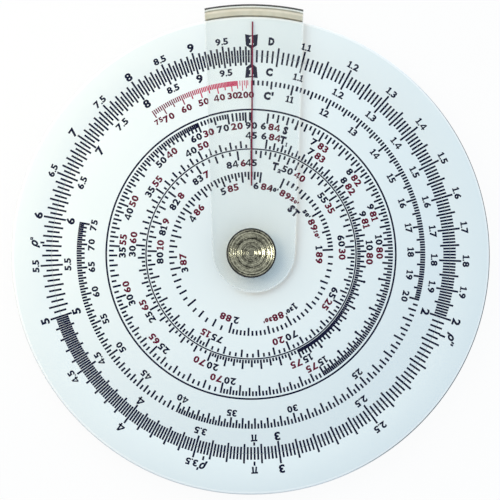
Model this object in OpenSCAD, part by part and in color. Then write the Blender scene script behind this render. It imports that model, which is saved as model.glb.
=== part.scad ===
// Circular slide rule: a base disc with a raised scale ring round its rim, a scale disc that turns
// inside the ring, and a clear cursor that straddles the rim, all on one turned pivot.
// The pivot axis is Z, the underside of the pivot is z = 0, and the index marks point along +Y.

/* [Discs] */
// Diameter of the base disc
disc_d = 110; // [104:0.5:130]
// Thickness of the base disc
plate_t = 1.2; // [0.8:0.1:2]
// Thickness of the ring bonded on the base disc
ring_t = 1.2; // [0.8:0.1:2]
// Radial width of the ring
ring_w = 9.1; // [6:0.1:16]
// Step from the base disc's rim in to the ring's
rim_step = 0.2; // [0.1:0.05:0.5]
// Chamfer round the outer edges of the base disc and the ring
rim_chamfer = 0.2; // [0.05:0.05:0.4]
// Gap all round between the turning inner disc and the ring
disc_gap = 0.1; // [0.1:0.05:0.4]
// Diameter of the slip washer under the inner disc
slip_d = 24; // [14:0.5:40]
// Thickness of the slip washer
slip_t = 0.2; // [0.1:0.05:0.4]

/* [Scale marks] */
// Width of a stamped scale mark
mark_w = 0.3; // [0.2:0.05:0.4]
// Depth of a stamped scale mark
mark_depth = 0.05; // [0.03:0.01:0.1]
// Length of the numbered marks on the ring
ring_mark_l = 2.6; // [2.3:0.1:4]
// Length of the marks at the other tenths on the ring
ring_tenth_l = 2.25; // [1:0.05:2.3]
// Length of the numbered marks on the inner disc
disc_mark_l = 2.2; // [2:0.1:4]
// Length of the marks at the other tenths on the inner disc
disc_tenth_l = 1.9; // [1:0.05:2]

/* [Pivot] */
// Diameter of the barrel that the disc and the cursor turn on
barrel_d = 6; // [5:0.1:7]
// Diameter of the flange at the back of the barrel
flange_d = 11.5; // [10:0.1:16]
// Thickness of the flange
flange_t = 1; // [0.6:0.1:2]
// Chamfer round the flange's back edge
flange_chamfer = 0.3; // [0.1:0.05:0.5]
// Diameter of the stud under the knob
stud_d = 3; // [2:0.1:3.5]
// Room between the end of the stud and the bottom of its hole
stud_end_gap = 0.5; // [0.2:0.1:1]
// Diameter of the knob
knob_d = 11.3; // [10:0.1:16]
// Height of the knob
knob_h = 1.9; // [1.5:0.1:5]
// Chamfer round the knob's top edge
knob_chamfer = 0.4; // [0.1:0.05:0.6]
// Diameter of the turned groove in the knob's face
knob_groove_d = 6.4; // [3:0.1:8]
// Width of the turned groove
knob_groove_w = 0.3; // [0.1:0.05:0.5]
// Depth of the turned groove
knob_groove_depth = 0.15; // [0.05:0.05:0.4]

/* [Washers] */
// Diameter of the spacers that keep the cursor's arms off the discs
spacer_d = 10.5; // [8:0.1:16]
// Thickness of the spacers
spacer_t = 0.3; // [0.2:0.05:1]
// Diameter of the plain washers at the flange and under the knob
washer_d = 10; // [8:0.1:16]
// Thickness of the plain washers
washer_t = 0.3; // [0.2:0.05:0.6]
// Diameter of the dished spring washer
spring_d = 9.6; // [8:0.1:10]
// Thickness of the spring washer's sheet
spring_t = 0.2; // [0.1:0.05:0.4]
// Height that the spring washer is dished
spring_dish = 0.25; // [0.1:0.05:0.5]

/* [Cursor] */
// Thickness of each clear arm
arm_t = 1; // [0.6:0.1:2]
// Radius of the arms' rounded end at the pivot
arm_end_r = 9.4; // [8:0.1:11]
// Width of the arms at their tip
arm_tip_w = 22.9; // [19:0.1:30]
// Sideways offset of the arms' outline from the hairline
arm_shift_x = 0.55; // [0:0.05:1]
// Offset of the rounded end's centre towards the rim
arm_shift_y = 0.6; // [0:0.05:1]
// Radial width of the bridge that joins the arms outside the rim
bridge_w = 2.4; // [1.5:0.05:4]
// Gap between the rim and the bridge
rim_clearance = 0.1; // [0.1:0.05:1]
// Width of the hairline
hairline_w = 0.3; // [0.2:0.05:0.5]
// Depth of the groove that holds the hairline's paint
hairline_depth = 0.12; // [0.08:0.01:0.3]
// Radius at which the hairline starts
hairline_start_r = 15.6; // [11:0.1:30]
// Distance from the hairline's outer end to the rim
hairline_rim_gap = 1.4; // [0.5:0.1:5]
// Angle of the hairlines, clockwise from the index marks, with the cursor at rest
hairline_turn = 0.25; // [0:0.05:1]

/* [Fits] */
// Clearance round the barrel of the pieces that turn on it
turn_clearance = 0.05; // [0.02:0.01:0.1]
// Clearance round the barrel of the pieces that stand still on it
washer_clearance = 0.1; // [0.05:0.01:0.2]
// Clearance round the stud in its hole
stud_clearance = 0.05; // [0.02:0.01:0.1]
// Play between a turning face and the face next to it
axial_play = 0.05; // [0.02:0.01:0.1]

/* [Hidden] */
$fn = 128;
// Overshoot of a cutting tool past the face that it cuts
cut_over = 1;
// Distance that an arm's sides start inside its rounded end
side_tuck = 0.05;

// Colours of the pieces
plastic_white = [0.90, 0.94, 0.95];
plastic_clear = [0.80, 0.90, 0.92, 0.45];
plastic_beige = [0.81, 0.79, 0.67];
paint_red = [0.66, 0.12, 0.24];
metal_turned = [0.60, 0.57, 0.46];
metal_spring = [0.62, 0.63, 0.65];
nylon_milky = [0.88, 0.88, 0.84];
film_grey = [0.75, 0.77, 0.78];

// Radii
disc_r = disc_d / 2;
ring_r = disc_r - rim_step;
window_r = ring_r - ring_w;
inner_disc_r = window_r - disc_gap;
barrel_r = barrel_d / 2;
turning_bore_r = barrel_r + turn_clearance;
washer_bore_r = barrel_r + washer_clearance;
bridge_r = disc_r + rim_clearance;
tip_r = bridge_r + bridge_w;

// Heights, from the flange up to the knob
back_washer_z = flange_t;
back_arm_z = back_washer_z + washer_t + axial_play;
back_spacer_z = back_arm_z + arm_t;
plate_z = back_spacer_z + spacer_t + axial_play;
ring_z = plate_z + plate_t;
face_z = ring_z + ring_t;
inner_disc_z = ring_z + slip_t + axial_play;
inner_disc_t = face_z - inner_disc_z;
front_spacer_z = face_z + axial_play;
front_arm_z = front_spacer_z + spacer_t;
knob_washer_z = front_arm_z + arm_t + axial_play;
spring_z = knob_washer_z + washer_t;
knob_z = spring_z + spring_t + spring_dish;
stud_hole_z = flange_t;
stud_z = stud_hole_z + stud_end_gap;

// The hairline's length, from its start to near the rim
hairline_l = disc_r - hairline_rim_gap - hairline_start_r;

// Marks stand at every tenth from 1 to 9.9: all are numbered up to 2, then only the halves
first_tenth = 10;
last_tenth = 99;
all_numbered_to = 20;
numbered_step = 5;

// Angle of a value on a scale that runs once round the disc, clockwise from the index
function scale_angle(value) = -360 * log(value);

// Whether the mark at a tenth carries a number
function is_numbered(tenth) = tenth < all_numbered_to || tenth % numbered_step == 0;

// Point on the line through two points, a height past the second one
function past_point(from, to, height) = to + (to - from) * height / (to[1] - from[1]);

// A flat ring that lies on z = 0
module washer(outer_d, bore_r, t) {
    difference() {
        cylinder(d = outer_d, h = t);
        translate([0, 0, -cut_over]) cylinder(r = bore_r, h = t + 2 * cut_over);
    }
}

// Cutters for the marks of one scale, which start at radius r and run outwards or inwards
module mark_cutters(r, numbered_l, tenth_l, outwards) {
    for (tenth = [first_tenth : last_tenth]) {
        mark_l = is_numbered(tenth) ? numbered_l : tenth_l;
        rotate([0, 0, scale_angle(tenth / first_tenth)])
            translate([-mark_w / 2, outwards ? r - cut_over : r - mark_l, face_z - mark_depth])
                cube([mark_w, mark_l + cut_over, mark_depth + cut_over]);
    }
}

// Plan of a cursor arm: a rounded end at the pivot and sides that spread to an arc at the tip
module arm_outline() {
    tip = [arm_tip_w / 2, tip_r - arm_shift_y];
    root = [arm_end_r - side_tuck, 0];
    side_end = past_point(root, tip, cut_over);
    intersection() {
        circle(r = tip_r);
        translate([arm_shift_x, arm_shift_y]) union() {
            circle(r = arm_end_r);
            polygon([root, side_end, [-side_end[0], side_end[1]], -root]);
        }
    }
}

// A cursor arm on z = 0, with its bore
module cursor_arm() {
    difference() {
        linear_extrude(height = arm_t) arm_outline();
        translate([0, 0, -cut_over]) cylinder(r = turning_bore_r, h = arm_t + 2 * cut_over);
    }
}

// The bar of paint that fills a hairline's groove, on z = 0
module hairline_bar(h) {
    rotate([0, 0, -hairline_turn])
        translate([-hairline_w / 2, hairline_start_r, 0]) cube([hairline_w, hairline_l, h]);
}

// Turned barrel with a flange at the back and a blind hole for the knob's stud
module pivot_barrel() {
    flange_r = flange_d / 2;
    hole_r = stud_d / 2 + stud_clearance;
    color(metal_turned) rotate_extrude()
        polygon([[0, 0], [flange_r - flange_chamfer, 0], [flange_r, flange_chamfer],
            [flange_r, flange_t], [barrel_r, flange_t], [barrel_r, knob_z],
            [hole_r, knob_z], [hole_r, stud_hole_z], [0, stud_hole_z]]);
}

// Plain washer between the flange and the back arm
module back_washer() {
    color(nylon_milky) translate([0, 0, back_washer_z]) washer(washer_d, washer_bore_r, washer_t);
}

// Clear arm behind the base disc, with its hairline on the side that faces the disc
module cursor_back_arm() {
    color(plastic_clear) translate([0, 0, back_arm_z]) difference() {
        cursor_arm();
        translate([0, 0, arm_t - hairline_depth]) hairline_bar(hairline_depth + cut_over);
    }
}

// Paint in the back arm's groove
module back_hairline() {
    color(paint_red) translate([0, 0, back_arm_z + arm_t - hairline_depth])
        hairline_bar(hairline_depth);
}

// Spacer bonded to the back arm
module back_spacer() {
    color(nylon_milky) translate([0, 0, back_spacer_z]) washer(spacer_d, turning_bore_r, spacer_t);
}

// Base disc, pressed on the barrel, with its back edge chamfered
module base_disc() {
    color(plastic_white) translate([0, 0, plate_z]) rotate_extrude()
        polygon([[barrel_r, 0], [disc_r - rim_chamfer, 0], [disc_r, rim_chamfer],
            [disc_r, plate_t], [barrel_r, plate_t]]);
}

// Ring with the fixed scale, bonded on the base disc just inside its rim, with its front edge chamfered
module scale_ring() {
    color(plastic_white) difference() {
        translate([0, 0, ring_z]) rotate_extrude()
            polygon([[window_r, 0], [ring_r, 0], [ring_r, ring_t - rim_chamfer],
                [ring_r - rim_chamfer, ring_t], [window_r, ring_t]]);
        mark_cutters(window_r, ring_mark_l, ring_tenth_l, true);
    }
}

// Thin washer that the inner disc slips on
module slip_washer() {
    color(film_grey) translate([0, 0, ring_z]) washer(slip_d, washer_bore_r, slip_t);
}

// Scale disc that turns inside the ring, flush with its face
module inner_disc() {
    color(plastic_white) difference() {
        translate([0, 0, inner_disc_z]) washer(2 * inner_disc_r, turning_bore_r, inner_disc_t);
        mark_cutters(inner_disc_r, disc_mark_l, disc_tenth_l, false);
    }
}

// Spacer bonded to the front arm
module front_spacer() {
    color(nylon_milky) translate([0, 0, front_spacer_z]) washer(spacer_d, turning_bore_r, spacer_t);
}

// Clear arm in front of the discs, with its hairline on the side that faces them
module cursor_front_arm() {
    color(plastic_clear) translate([0, 0, front_arm_z]) difference() {
        cursor_arm();
        translate([0, 0, -cut_over]) hairline_bar(hairline_depth + cut_over);
    }
}

// Paint in the front arm's groove
module front_hairline() {
    color(paint_red) translate([0, 0, front_arm_z]) hairline_bar(hairline_depth);
}

// Curved bridge outside the rim, bonded between the two arms
module cursor_bridge() {
    bridge_h = front_arm_z - back_spacer_z;
    color(plastic_beige) translate([0, 0, back_spacer_z]) linear_extrude(height = bridge_h)
        difference() {
            arm_outline();
            circle(r = bridge_r);
        }
}

// Plain washer between the front arm and the spring washer
module knob_washer() {
    color(nylon_milky) translate([0, 0, knob_washer_z]) washer(washer_d, washer_bore_r, washer_t);
}

// Dished spring washer that keeps the stack under light pressure
module spring_washer() {
    spring_r = spring_d / 2;
    color(metal_spring) translate([0, 0, spring_z]) rotate_extrude()
        polygon([[washer_bore_r, 0], [spring_r, spring_dish],
            [spring_r, spring_dish + spring_t], [washer_bore_r, spring_t]]);
}

// Turned knob that screws down on the end of the barrel
module knob() {
    knob_r = knob_d / 2;
    stud_r = stud_d / 2;
    stud_l = knob_z - stud_z;
    groove_in_r = (knob_groove_d - knob_groove_w) / 2;
    groove_out_r = (knob_groove_d + knob_groove_w) / 2;
    groove_z = knob_h - knob_groove_depth;
    color(metal_turned) translate([0, 0, knob_z]) rotate_extrude()
        polygon([[0, -stud_l], [stud_r, -stud_l], [stud_r, 0], [knob_r, 0],
            [knob_r, knob_h - knob_chamfer], [knob_r - knob_chamfer, knob_h],
            [groove_out_r, knob_h], [groove_out_r, groove_z],
            [groove_in_r, groove_z], [groove_in_r, knob_h], [0, knob_h]]);
}

pivot_barrel();
back_washer();
cursor_back_arm();
back_hairline();
back_spacer();
base_disc();
scale_ring();
slip_washer();
inner_disc();
front_spacer();
cursor_front_arm();
front_hairline();
cursor_bridge();
knob_washer();
spring_washer();
knob();
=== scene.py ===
import math

import bmesh
import bpy
from mathutils import Matrix, Vector
from mathutils.geometry import intersect_line_sphere_2d


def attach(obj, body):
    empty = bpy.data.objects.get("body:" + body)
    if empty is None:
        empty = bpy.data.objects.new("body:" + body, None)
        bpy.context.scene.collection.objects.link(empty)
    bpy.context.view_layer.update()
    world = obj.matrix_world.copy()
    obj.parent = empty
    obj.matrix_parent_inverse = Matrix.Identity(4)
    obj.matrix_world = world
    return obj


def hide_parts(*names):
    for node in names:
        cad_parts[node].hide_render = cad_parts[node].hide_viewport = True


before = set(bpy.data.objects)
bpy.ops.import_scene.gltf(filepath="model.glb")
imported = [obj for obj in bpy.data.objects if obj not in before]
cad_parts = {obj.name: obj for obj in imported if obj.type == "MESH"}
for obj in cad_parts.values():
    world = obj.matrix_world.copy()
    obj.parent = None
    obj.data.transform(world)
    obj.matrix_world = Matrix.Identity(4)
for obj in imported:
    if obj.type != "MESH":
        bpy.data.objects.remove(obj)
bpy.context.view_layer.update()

# Pivot barrel: turned brass under dull nickel plate, with a flange at the back and a blind hole for
# the knob's stud. The discs, the arms and the washers are all threaded on it from the front.
MM = 0.001
BARREL_R = 3.0
FLANGE_R = 5.75
FLANGE_T = 1.0
FLANGE_CHAMFER = 0.3
KNOB_Z = 7.25
STUD_HOLE_R = 1.55
FACING_GROOVES = (1.6, 2.7, 3.8, 4.8)
FACING_DEPTH = 0.05
FACING_HALF_W = 0.12
SMALL_STEPS = 96


def full_turn(bm, section, steps):
    """Spins the corners and edges of a section once round the pivot axis."""
    bmesh.ops.spin(
        bm, geom=section, axis=(0, 0, 1), angle=2 * math.pi, steps=steps, use_merge=True)


def turned_solid(half_section, steps=SMALL_STEPS):
    """A solid turned from a half section, given as (radius, height) points in mm."""
    bm = bmesh.new()
    corners = [bm.verts.new((r * MM, 0, z * MM)) for r, z in half_section]
    edges = [bm.edges.new(pair) for pair in zip(corners, corners[1:])]
    if half_section[0][0] > 0:
        edges.append(bm.edges.new((corners[-1], corners[0])))
    full_turn(bm, corners + edges, steps)
    bmesh.ops.remove_doubles(bm, verts=bm.verts, dist=0.0005 * MM)
    bmesh.ops.recalc_face_normals(bm, faces=bm.faces)
    return bm


def ease_edges(bm, width, segments, sharper_than):
    """Rounds every edge of a solid that turns through more than an angle in degrees."""
    limit = math.radians(sharper_than)
    edges = [e for e in bm.edges if e.is_manifold and e.calc_face_angle() > limit]
    bmesh.ops.bevel(
        bm, geom=edges, offset=width * MM, offset_type="OFFSET", affect="EDGES",
        segments=segments, profile=0.5, material=-1, clamp_overlap=True)


def new_object(name, data):
    """Puts a new object into the scene."""
    made = bpy.data.objects.new(name, data)
    bpy.context.scene.collection.objects.link(made)
    return made


def finished_piece(name, bm, materials, crease):
    """Makes a piece of a bmesh, smooth shaded except at edges past an angle in degrees."""
    mesh = bpy.data.meshes.new(name)
    bm.to_mesh(mesh)
    bm.free()
    for material in materials:
        mesh.materials.append(material)
    mesh.shade_smooth()
    mesh.set_sharp_from_angle(angle=math.radians(crease))
    return new_object(name, mesh)


def set_inputs(node, inputs):
    """Gives a shader node its inputs: a socket is linked, and anything else is set."""
    for key, value in dict(inputs).items():
        if isinstance(value, bpy.types.NodeSocket):
            node.id_data.links.new(value, node.inputs[key])
        else:
            node.inputs[key].default_value = value


def put_node(tree, kind, inputs=(), **settings):
    """Adds a shader node of a kind with its settings and inputs, and returns its outputs."""
    made = tree.nodes.new("ShaderNode" + kind)
    for key, value in settings.items():
        setattr(made, key, value)
    set_inputs(made, inputs)
    return made.outputs


def new_group(name, inputs, outputs):
    """Starts a shader node group with named value inputs and outputs."""
    group = bpy.data.node_groups.new(name, "ShaderNodeTree")
    for label, default in inputs.items():
        socket = group.interface.new_socket(label, in_out="INPUT", socket_type="NodeSocketFloat")
        socket.default_value = default
    for label in outputs:
        group.interface.new_socket(label, in_out="OUTPUT", socket_type="NodeSocketFloat")
    return group


def new_material(name):
    """A material with its Principled shader, as (material, node tree, shader)."""
    material = bpy.data.materials.new(name)
    material.use_nodes = True
    tree = material.node_tree
    return material, tree, tree.nodes["Principled BSDF"]


def reckon(operation, first, *others, clamp=False):
    """The result of a sum on a node's value and others, in the tree that the node is in."""
    values = enumerate((first, *others))
    return put_node(first.id_data, "Math", values, operation=operation, use_clamp=clamp)[0]


def slide(value, span=(0.0, 1.0), result=(0.0, 1.0), smooth=False):
    """A value that crosses a result from end to end while another crosses a span."""
    ends = enumerate((value, *span, *result))
    curve = "SMOOTHSTEP" if smooth else "LINEAR"
    return put_node(value.id_data, "MapRange", ends, interpolation_type=curve)[0]


def two_tones(mask, dark, light):
    """A colour that runs from dark to light as a mask runs from 0 to 1."""
    tones = [tone if isinstance(tone, bpy.types.NodeSocket) else (*tone, 1) for tone in (dark, light)]
    return put_node(mask.id_data, "Mix", {0: mask, 6: tones[0], 7: tones[1]}, data_type="RGBA")[2]


def bumps(height, strength, depth, over=None):
    """The normal of a surface that rises and falls with a height, to a depth in metres."""
    inputs = {"Strength": strength, "Distance": depth, "Height": height}
    if over is not None:
        inputs["Normal"] = over
    return put_node(height.id_data, "Bump", inputs)[0]


def along(place, direction):
    """How far a place or a normal reaches along a direction."""
    ends = {0: place, 1: direction}
    return put_node(place.id_data, "VectorMath", ends, operation="DOT_PRODUCT")["Value"]


def object_place(tree):
    """The place of a point of the piece, in metres."""
    return put_node(tree, "TexCoord")["Object"]


def axis_distance(tree):
    """Distance of a point of the piece from the pivot axis, in metres."""
    across = {0: object_place(tree), 1: (1.0, 1.0, 0.0)}
    flat = put_node(tree, "VectorMath", across, operation="MULTIPLY")
    return put_node(tree, "VectorMath", {0: flat[0]}, operation="LENGTH")["Value"]


# Grain: soft clouds of noise on the piece, as a mask and a height
grain = new_group("surface_grain", {"Scale": 200.0, "Sharpness": 1.0}, ("Mask", "Height"))
grain_in = grain.nodes.new("NodeGroupInput").outputs
grain_noise = put_node(
    grain, "TexNoise",
    {"Vector": object_place(grain), "Scale": grain_in["Scale"], "Detail": 5.0, "Roughness": 0.6})[0]
grain_centred = reckon("SUBTRACT", grain_noise, 0.5)
grain_mask = reckon("MULTIPLY_ADD", grain_centred, grain_in["Sharpness"], 0.5, clamp=True)
set_inputs(grain.nodes.new("NodeGroupOutput"), {"Mask": grain_mask, "Height": grain_noise})

# Turning rings: uneven rings about the pivot axis, as a lathe tool or a sliding washer leaves them
rings = new_group("turning_rings", {"Pitch": 0.0002, "Breaks": 0.3}, ("Mask", "Height"))
rings_in = rings.nodes.new("NodeGroupInput").outputs
rings_count = reckon("DIVIDE", axis_distance(rings), rings_in["Pitch"])
rings_noise = put_node(
    rings, "TexNoise", {"W": rings_count, "Scale": 1.0, "Detail": 3.0, "Roughness": 0.65},
    noise_dimensions="1D")[0]
rings_gaps = put_node(
    rings, "TexNoise", {"Vector": object_place(rings), "Scale": 900.0, "Detail": 3.0})[0]
rings_broken = reckon("MULTIPLY_ADD", rings_gaps, rings_in["Breaks"], rings_noise)
rings_mask = slide(rings_broken, (0.35, 0.85))
set_inputs(rings.nodes.new("NodeGroupOutput"), {"Mask": rings_mask, "Height": rings_broken})


def grained(tree, scale, sharpness):
    """Grain in a material."""
    return put_node(tree, "Group", {"Scale": scale, "Sharpness": sharpness}, node_tree=grain)


def ringed(tree, pitch, breaks):
    """Turning rings in a material, at a pitch in metres."""
    return put_node(tree, "Group", {"Pitch": pitch, "Breaks": breaks}, node_tree=rings)


turned_metal, tree, shader = new_material("turned_metal")
plate_rings = ringed(tree, 0.0005, 0.4)
plate_stain = grained(tree, 900.0, 1.2)
plate_pits = grained(tree, 3200.0, 1.0)
plate_tone = reckon("MULTIPLY", plate_rings["Mask"], plate_stain["Mask"])
plate_rows = bumps(plate_rings["Height"], 0.5, 0.00003)
set_inputs(shader, {
    "Base Color": two_tones(plate_tone, (0.2, 0.19, 0.13), (0.56, 0.55, 0.44)),
    "Metallic": 1.0,
    "Roughness": slide(plate_stain["Mask"], result=(0.2, 0.36)),
    "Normal": bumps(plate_pits["Height"], 0.6, 0.00004, plate_rows)})

barrel_section = [(0, 0)]
for groove_r in FACING_GROOVES:
    barrel_section += [
        (groove_r - FACING_HALF_W, 0), (groove_r, FACING_DEPTH), (groove_r + FACING_HALF_W, 0)]
barrel_section += [
    (FLANGE_R - FLANGE_CHAMFER, 0), (FLANGE_R, FLANGE_CHAMFER), (FLANGE_R, FLANGE_T),
    (BARREL_R, FLANGE_T), (BARREL_R, KNOB_Z), (STUD_HOLE_R, KNOB_Z), (STUD_HOLE_R, FLANGE_T),
    (0, FLANGE_T)]
barrel = finished_piece("pivot_barrel_turned", turned_solid(barrel_section), [turned_metal], 20)
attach(barrel, "base")
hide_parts("pivot_barrel")

# Washers and spacers: flat rings punched from milky nylon sheet, with the edges that the punch rounds.
# The spacers are stuck to the arms, the plain washers sit at the two ends of the stack, and a thinner
# ring of grey film lets the inner disc slip.
WASHER_BORE_R = 3.1
TURNING_BORE_R = 3.05
PUNCHED_EDGE = 0.06
# name: (outer radius, bore radius, height of its underside, thickness, body, node, slot)
PUNCHED_RINGS = {
    "back_washer_punched": (5.0, WASHER_BORE_R, 1.0, 0.3, "base", "back_washer", "milky_nylon"),
    "back_spacer_punched": (5.25, TURNING_BORE_R, 2.35, 0.3, "cursor", "back_spacer", "milky_nylon"),
    "slip_washer_punched": (12.0, WASHER_BORE_R, 3.9, 0.2, "base", "slip_washer", "slip_film"),
    "front_spacer_punched": (5.25, TURNING_BORE_R, 5.15, 0.3, "cursor", "front_spacer", "milky_nylon"),
    "knob_washer_punched": (5.0, WASHER_BORE_R, 6.5, 0.3, "base", "knob_washer", "milky_nylon"),
}


def punched_sheet(name, dark, light, roughness):
    """A dull sheet plastic with soft clouds in its tone and a fine bite in its surface."""
    material, tree, shader = new_material(name)
    clouds = grained(tree, 450.0, 1.8)
    bite = grained(tree, 6000.0, 1.0)
    set_inputs(shader, {
        "Base Color": two_tones(clouds["Mask"], dark, light),
        "Roughness": slide(bite["Mask"], result=(roughness - 0.08, roughness + 0.08)),
        "Normal": bumps(bite["Height"], 0.3, 0.00002)})
    return material


ring_finishes = {
    "milky_nylon": punched_sheet("milky_nylon", (0.74, 0.74, 0.68), (0.87, 0.87, 0.82), 0.5),
    "slip_film": punched_sheet("slip_film", (0.62, 0.65, 0.66), (0.74, 0.76, 0.77), 0.35),
}
for name, (outer_r, bore_r, low, thick, body, node, slot) in PUNCHED_RINGS.items():
    bm = turned_solid(
        [(bore_r, low), (outer_r, low), (outer_r, low + thick), (bore_r, low + thick)])
    ease_edges(bm, PUNCHED_EDGE, 2, 60)
    punched = finished_piece(name, bm, [ring_finishes[slot]], 40)
    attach(punched, body)
    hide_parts(node)

# Base disc: white sheet plastic with a satin face and a faint blue cast, turned to a disc and
# pressed on the barrel. Its back edge is chamfered, and its front edge is eased to meet the ring.
DISC_R = 55.0
RING_R = 54.8
PLATE_Z = 2.7
RING_Z = 3.9
RIM_CHAMFER = 0.2
SEAM_EASE = 0.05
DISC_EASE = 0.02
DISC_STEPS = 256
# Distances from the axis, in metres, over which the sheet turns pale near its outer edge and over the
# ring's chamfer, a painted highlight line, and grey on the ledge outside the ring, a painted shade line
CHAMFER_HIGHLIGHT_SPAN = ((RING_R - 0.58) * MM, (RING_R - 0.48) * MM)
LEDGE_SHADE_SPAN = ((DISC_R - 0.19) * MM, (DISC_R - 0.16) * MM)
# Painted shade: a near-black line on the ring's chamfer, on the right side, away from the lamp
SHADE_LINE_SIDE = (0.98, -0.17, 0.0)
SHADE_LINE_ALONG = (0.45 * RING_R * MM, 0.8 * RING_R * MM)
SHADE_LINE_OUT = (54.61 * MM, 54.65 * MM)
SHADE_LINE_UP = (4.87 * MM, 4.9 * MM)

white_sheet, tree, shader = new_material("white_sheet")
sheet_clouds = grained(tree, 70.0, 1.6)
sheet_bite = grained(tree, 3500.0, 1.0)
sheet_rub = ringed(tree, 0.0007, 0.6)
sheet_place = object_place(tree)
sheet_up = along(sheet_place, (0.0, 0.0, 1.0))
sheet_out = axis_distance(tree)
sheet_face = two_tones(sheet_clouds["Mask"], (0.85, 0.895, 0.905), (0.875, 0.912, 0.918))
# Painted highlight: the pale band over the chamfer. Painted shade: the grey ledge round the rim.
sheet_and_highlight = two_tones(slide(sheet_out, CHAMFER_HIGHLIGHT_SPAN), sheet_face, (0.97, 0.975, 0.975))
sheet_highlight_and_shade = two_tones(slide(sheet_out, LEDGE_SHADE_SPAN), sheet_and_highlight, (0.66, 0.65, 0.65))
# A painted shade line on the chamfer's right side, away from the lamp
shade_line_band = reckon("MULTIPLY", slide(sheet_out, SHADE_LINE_OUT), slide(sheet_up, SHADE_LINE_UP))
shade_line_there = slide(along(sheet_place, SHADE_LINE_SIDE), SHADE_LINE_ALONG, smooth=True)
painted_shade_line = reckon("MULTIPLY", shade_line_band, shade_line_there)
set_inputs(shader, {
    "Base Color": two_tones(painted_shade_line, sheet_highlight_and_shade, (0.06, 0.056, 0.056)),
    "Roughness": slide(sheet_rub["Mask"], result=(0.5, 0.38)),
    "Normal": bumps(sheet_bite["Height"], 0.15, 0.00002)})


def sheet_piece(name, half_section, ease):
    """A disc or ring turned from the white sheet, with its edges eased."""
    bm = turned_solid(half_section, DISC_STEPS)
    ease_edges(bm, ease, 2, 30)
    return finished_piece(name, bm, [white_sheet], 30)


base_disc = sheet_piece(
    "base_disc_sheet",
    [(BARREL_R, PLATE_Z), (DISC_R - RIM_CHAMFER, PLATE_Z), (DISC_R, PLATE_Z + RIM_CHAMFER),
     (DISC_R, RING_Z - SEAM_EASE), (DISC_R - SEAM_EASE, RING_Z), (BARREL_R, RING_Z)], DISC_EASE)
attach(base_disc, "base")
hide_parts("base_disc")

# Print on the back of the base disc: an even scale, a scale of squares and one of cubes, screened in
# black and read under the back hairline. Lines and figures are a thin coat that stands on the sheet.
INK_T = 0.03
INK_PROUD = 0.012
MARK_W = 0.44
FINE_LINE_W = 0.3
LINE_STEPS = 192
FIGURE_STROKE = 0.042
LETTER_STROKE = 0.07
SMALL_STROKE = 0.085
LETTER_H = 1.9
FIGURE_WIDEN = 1.2
FIGURE_GAP = 0.07
# Height of a drawn capital before its stroke is thickened, as a share of its type size
DRAWN_CAPITAL = 0.69
LETTER_WIDTHS = {"D": 0.78, "C": 0.92, "S": 0.9, "T": 0.86, "L": 0.9, "A": 0.9, "K": 0.9, "ρ": 1.0,
                 "'": 1.0}
SMALL_TYPE = 0.62
LOWERED_TYPE = 0.5
LOWERED = -0.15
LEFT_GAP = 0.14
RIGHT_GAP = 0.33
# Figures that are cut straight, each as outlines in a figure a hundred units high
STRAIGHT_TYPE = {
    ".": (((-11, 0), (11, 0), (11, 21), (-11, 21)),),
    "1": (((-27, 0), (27, 0), (27, 18), (12, 18), (12, 100), (-5, 100),
           (-27, 86), (-27, 67), (-12, 75), (-12, 18), (-27, 18)),),
    "4": (((8, 0), (27, 0), (27, 100), (8, 100)),
          ((-42, 20), (42, 20), (42, 38), (-42, 38)),
          ((-42, 38), (-19, 38), (27, 100), (5, 100))),
    "π": (((-48, 74), (48, 80), (48, 102), (-48, 98)),
          ((-37, 0), (-12, 0), (-7, 80), (-30, 80)),
          ((12, 0), (40, 0), (33, 80), (9, 80))),
    "′": (((-24, 70), (-2, 70), (5, 105), (-18, 105)),),
    "″": (((-35, 68), (-14, 68), (-8, 104), (-31, 104)),
          ((-7, 68), (14, 68), (20, 104), (-3, 104))),
    "°": (((-25, 65), (9, 65), (-4, 78), (-12, 78)),
          ((9, 65), (9, 99), (-4, 86), (-4, 78)),
          ((9, 99), (-25, 99), (-12, 86), (-4, 86)),
          ((-25, 99), (-25, 65), (-12, 78), (-12, 86))),
}
SLANTS = {"ρ": 0.3}
BACK_LINES = (45.4, 36.6)


def raise_faces(bm, faces, height):
    """Raises faces into a solid."""
    raised = bmesh.ops.extrude_face_region(bm, geom=faces)
    tops = [v for v in raised["geom"] if isinstance(v, bmesh.types.BMVert)]
    bmesh.ops.translate(bm, verts=tops, vec=(0, 0, height))
    bmesh.ops.recalc_face_normals(bm, faces=bm.faces)


def flat_slab(outlines, thickness):
    """A slab of straight-sided outlines, each given as (x, y) points, about z = 0."""
    bm = bmesh.new()
    low = -thickness / 2
    faces = [bm.faces.new([bm.verts.new((x, y, low)) for x, y in points]) for points in outlines]
    raise_faces(bm, faces, thickness)
    return bm


def drawn_figure(char, stroke):
    """A drawn figure or letter, one figure high."""
    text = bpy.data.curves.new("type", "FONT")
    text.body = char
    text.align_x = "CENTER"
    text.resolution_u = 2
    text.extrude = 0.5
    text.offset = stroke
    text.shear = SLANTS.get(char, 0.0)
    holder = new_object("type", text)
    bpy.context.view_layer.update()
    drawn = bpy.data.meshes.new_from_object(holder)
    bpy.data.objects.remove(holder)
    bpy.data.curves.remove(text)
    bm = bmesh.new()
    bm.from_mesh(drawn)
    bpy.data.meshes.remove(drawn)
    bmesh.ops.remove_doubles(bm, verts=bm.verts, dist=0.0001)
    bmesh.ops.recalc_face_normals(bm, faces=bm.faces)
    low = min(v.co.x for v in bm.verts)
    high = max(v.co.x for v in bm.verts)
    bmesh.ops.translate(bm, verts=bm.verts, vec=(-(low + high) / 2, stroke, 0))
    capital = DRAWN_CAPITAL + 2 * stroke
    widen = LETTER_WIDTHS.get(char, FIGURE_WIDEN)
    bmesh.ops.scale(bm, verts=bm.verts, vec=(widen / capital, 1 / capital, 1))
    return bm


type_case = {}


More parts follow.
